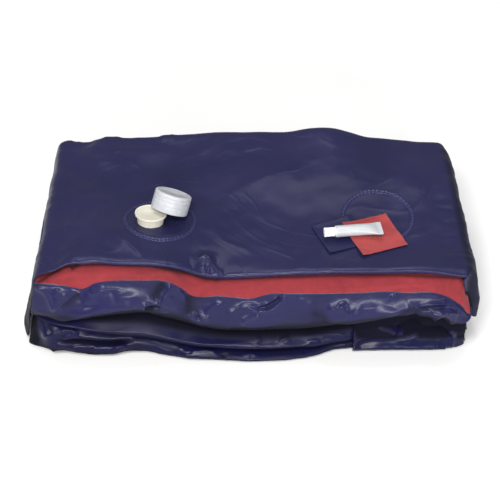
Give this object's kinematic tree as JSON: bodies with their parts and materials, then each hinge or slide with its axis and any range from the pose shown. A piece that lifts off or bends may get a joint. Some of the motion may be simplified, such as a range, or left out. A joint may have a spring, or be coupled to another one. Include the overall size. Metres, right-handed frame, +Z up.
{
  "type": "air bed",
  "caption": "Let-down air bed folded into a navy vinyl pile with a red flocked side, its stopper, screw cap and repair kit lying on top",
  "frame": {"origin": "middle of the pile's foot on the floor", "axes": "X across the folded pile, Y from its front to its back, Z up"},
  "size_m": [0.526, 0.278, 0.1619],
  "materials": {
    "navy_vinyl": "semi-gloss flexible vinyl sheet",
    "coil_vinyl": "plain flexible vinyl",
    "red_flock": "short flocked pile on vinyl",
    "white_cap_plastic": "moulded, satin",
    "cream_stopper_plastic": "soft moulded plastic",
    "seal_rubber": "soft seal",
    "white_tube_plastic": "plain tube, no print"
  },
  "bodies": {
    "stack": {"underside_fold": "navy_vinyl", "middle_roll": "navy_vinyl", "side_band_fold": "navy_vinyl", "flocked_panel": "red_flock", "left_wall": "navy_vinyl", "right_lap_sheet": "navy_vinyl", "valve_neck": "navy_vinyl"},
    "flap": {"flap_skin": "navy_vinyl", "flap_lining": "red_flock", "flap_drape": "navy_vinyl", "left_coil_weld": "navy_vinyl", "right_coil_weld": "navy_vinyl", "left_air_coil": "coil_vinyl", "right_air_coil": "coil_vinyl"},
    "check_disc": {"valve_check_disc": "seal_rubber"},
    "stopper": {"valve_stopper": "cream_stopper_plastic"},
    "cap": {"valve_cap": "white_cap_plastic", "valve_cap_seal": "seal_rubber"},
    "blue_patch": {"repair_patch_blue": "navy_vinyl"},
    "red_patch": {"repair_patch_red": "red_flock"},
    "glue_tube": {"glue_tube_body": "white_tube_plastic", "glue_tube_nozzle": "white_tube_plastic"},
    "cap_travel": {"glue_cap_liner": "seal_rubber"},
    "tube_cap": {"glue_tube_cap": "white_tube_plastic"}
  },
  "joints": [
    {"name": "flap_fold", "type": "hinge", "parent": "stack", "child": "flap", "pos_m": [-0.21246, -0.01064, 0.12397], "axis": [0, -0.996, 0.0899], "range_deg": [0, 120]},
    {"name": "check_disc_lift", "type": "slide", "parent": "stack", "child": "check_disc", "axis": [0, -1, 0], "range_m": [0, 0.0025]},
    {"name": "stopper_lift", "type": "slide", "parent": "flap", "child": "stopper", "axis": [0, 0, 1], "range_m": [0, 0.12]},
    {"name": "cap_lift", "type": "slide", "parent": "stopper", "child": "cap", "axis": [0, 0, 1], "range_m": [0, 0.12]},
    {"name": "blue_patch_lift", "type": "slide", "parent": "flap", "child": "blue_patch", "axis": [0, 0, 1], "range_m": [0, 0.12]},
    {"name": "red_patch_lift", "type": "slide", "parent": "blue_patch", "child": "red_patch", "axis": [0, 0, 1], "range_m": [0, 0.12]},
    {"name": "glue_tube_lift", "type": "slide", "parent": "red_patch", "child": "glue_tube", "axis": [0, 0, 1], "range_m": [0, 0.12]},
    {"name": "tube_cap_travel", "type": "slide", "parent": "glue_tube", "child": "cap_travel", "axis": [-0.99, -0.1391, 0.023], "range_m": [0, 0.006]},
    {"name": "tube_cap_turn", "type": "hinge", "parent": "cap_travel", "child": "tube_cap", "pos_m": [0.1003, -0.05469, 0.12659], "axis": [-0.99, -0.1391, 0.023], "range_deg": [0, 1080]}
  ],
  "couplings": [
    {"joint": "tube_cap_turn", "follows": "tube_cap_travel", "rad_per_m": 3141.6}
  ]
}
